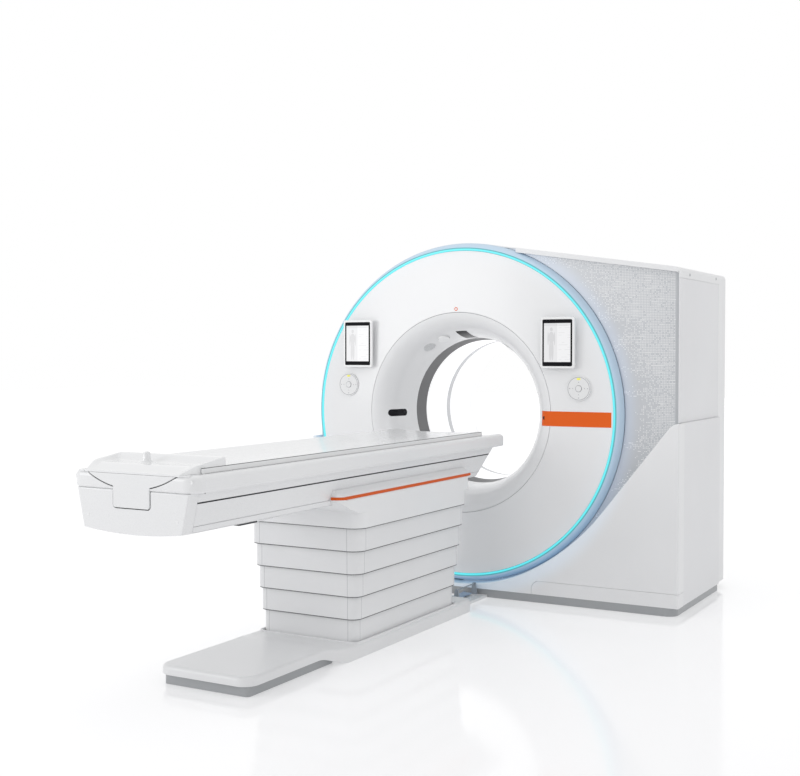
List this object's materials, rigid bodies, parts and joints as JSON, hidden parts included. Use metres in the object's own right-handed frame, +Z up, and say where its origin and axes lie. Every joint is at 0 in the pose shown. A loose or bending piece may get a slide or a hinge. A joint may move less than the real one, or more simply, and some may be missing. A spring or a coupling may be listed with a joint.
{
  "type": "ct scanner",
  "caption": "Ring-shaped computed tomography scanner with a round lit bore front, sloping housing, and a lifting patient table that slides through the bore.",
  "frame": {"origin": "floor point under the isocentre, the centre of the bore at the scan plane", "axes": "+X right across the gantry front, +Y from the table into the gantry along the bore, +Z up"},
  "size_m": [2.2948, 3.82, 1.97],
  "materials": {
    "cover_white": "satin moulded plastic",
    "disc_white": "soft gloss moulded plastic",
    "silver_panel": "silver paint with a fine printed matrix",
    "bore_grey": "matt dark grey",
    "light_cyan": "lit translucent ring",
    "bezel_blue": "satin, lit by the ring",
    "window_film": "translucent film",
    "accent_orange": "gloss orange trim",
    "plinth_grey": "satin grey plinth",
    "tablet_body": "white frame, black bezel and lit screen",
    "black_gloss": "polished black window",
    "key_white": "satin key",
    "grille_grey": "fine woven mesh",
    "frame_steel": "powder-coated welded steel",
    "cast_grey": "painted casting",
    "rotor_aluminium": "machined",
    "bearing_steel": "ground steel",
    "tube_metal": "painted housing",
    "carbon_white": "coated carbon-fibre board",
    "tray_gloss": "glossy moulded tray",
    "pedal_blue": "ribbed pad",
    "guard_grey": "grey moulded guard"
  },
  "bodies": {
    "root": {"accent_stripe": "accent_orange", "bearing_outer_race": "bearing_steel", "bore_liners": "disc_white", "bore_trim_ring": "bore_grey", "column_shell_1": "cover_white", "control_dials": "key_white", "drive_coil_ring": "cast_grey", "floor_plinths": "plinth_grey", "front_disc": "disc_white", "front_funnel": "disc_white", "funnel_display": "black_gloss", "gantry_base_frame": "frame_steel", "guard_bar": "guard_grey", "kick_panel": "cover_white", "light_ring": "light_cyan", "lower_cover_left": "cover_white", "lower_cover_right": "cover_white", "rear_cover": "cover_white", "rear_funnel": "cover_white", "ring_bezel": "bezel_blue", "round_cover": "cover_white", "scan_window": "window_film", "sensor_window": "black_gloss", "side_cover_left": "cover_white", "side_cover_lower": "cover_white", "side_cover_upper": "cover_white", "speaker_grilles": "grille_grey", "stator_ring": "cast_grey", "status_dome": "key_white", "table_base_cover": "cover_white", "table_base_frame": "frame_steel", "tablet_docks": "cover_white", "tablets": "tablet_body", "top_cover": "cover_white", "upper_panel": "silver_panel"},
    "rotor": {"rotor_drum": "rotor_aluminium", "bearing_inner_race": "bearing_steel", "drive_magnet_ring": "bearing_steel", "slip_ring": "bearing_steel", "x_ray_tube": "tube_metal", "detector": "tube_metal", "rotor_power_units": "tube_metal"},
    "table_head": {"table_head_frame": "frame_steel", "table_head_cover": "cover_white", "head_accent_strip": "accent_orange", "hull_shell": "cover_white", "hull_end_cap": "cover_white"},
    "carriage": {"table_carriage": "rotor_aluminium"},
    "tabletop": {"tabletop": "carbon_white", "tabletop_tray": "tray_gloss", "tabletop_end_grip": "cover_white"},
    "shell_2": {"column_shell_2": "cover_white"},
    "shell_3": {"column_shell_3": "cover_white"},
    "shell_4": {"column_shell_4": "cover_white"},
    "shell_5": {"column_shell_5": "cover_white"},
    "scissor_outer": {"scissor_outer": "frame_steel"},
    "scissor_inner": {"scissor_inner": "frame_steel"},
    "dial_button_left": {"dial_button_left": "key_white"},
    "dial_button_right": {"dial_button_right": "key_white"},
    "floor_pedal": {"floor_pedal": "pedal_blue"}
  },
  "joints": [
    {"name": "rotor_spin", "type": "hinge", "parent": "root", "child": "rotor", "pos_m": [0, 0, 1.02], "axis": [0, 1, 0], "continuous": true},
    {"name": "table_lift", "type": "slide", "parent": "root", "child": "table_head", "axis": [0, 0, 1], "range_m": [-0.35, 0.05]},
    {"name": "tabletop_slide", "type": "slide", "parent": "table_head", "child": "tabletop", "axis": [0, 1, 0], "range_m": [0, 1.6]},
    {"name": "carriage_slide", "type": "slide", "parent": "table_head", "child": "carriage", "axis": [0, 1, 0], "range_m": [0, 0.8]},
    {"name": "shell_2_slide", "type": "slide", "parent": "root", "child": "shell_2", "axis": [0, 0, 1], "range_m": [-0.071, 0.011]},
    {"name": "shell_3_slide", "type": "slide", "parent": "root", "child": "shell_3", "axis": [0, 0, 1], "range_m": [-0.141, 0.021]},
    {"name": "shell_4_slide", "type": "slide", "parent": "root", "child": "shell_4", "axis": [0, 0, 1], "range_m": [-0.211, 0.031]},
    {"name": "shell_5_slide", "type": "slide", "parent": "root", "child": "shell_5", "axis": [0, 0, 1], "range_m": [-0.281, 0.041]},
    {"name": "scissor_outer_pivot", "type": "hinge", "parent": "root", "child": "scissor_outer", "pos_m": [0, -2.15, 0.075], "axis": [1, 0, 0], "range_deg": [-27, 4.2]},
    {"name": "scissor_inner_pivot", "type": "hinge", "parent": "table_head", "child": "scissor_inner", "pos_m": [0, -2.15, 0.61452], "axis": [1, 0, 0], "range_deg": [-4.2, 27]},
    {"name": "dial_button_left_press", "type": "slide", "parent": "root", "child": "dial_button_left", "axis": [0, 1, 0], "range_m": [0, 0.0015], "stiffness_N_per_m": 600, "springref_m": -0.001},
    {"name": "dial_button_right_press", "type": "slide", "parent": "root", "child": "dial_button_right", "axis": [0, 1, 0], "range_m": [0, 0.0015], "stiffness_N_per_m": 600, "springref_m": -0.001},
    {"name": "floor_pedal_press", "type": "hinge", "parent": "root", "child": "floor_pedal", "pos_m": [0.072, -0.885, 0.024], "axis": [0, 1, 0], "range_deg": [0, 3], "stiffness_Nm_per_rad": 12, "springref_deg": -3.44}
  ],
  "couplings": [
    {"joint": "carriage_slide", "follows": "tabletop_slide", "ratio": 0.5},
    {"joint": "shell_2_slide", "follows": "table_lift", "ratio": 0.2},
    {"joint": "shell_3_slide", "follows": "table_lift", "ratio": 0.4},
    {"joint": "shell_4_slide", "follows": "table_lift", "ratio": 0.6},
    {"joint": "shell_5_slide", "follows": "table_lift", "ratio": 0.8},
    {"joint": "scissor_outer_pivot", "follows": "table_lift", "rad_per_m": 1.3223},
    {"joint": "scissor_inner_pivot", "follows": "table_lift", "rad_per_m": -1.3223}
  ]
}
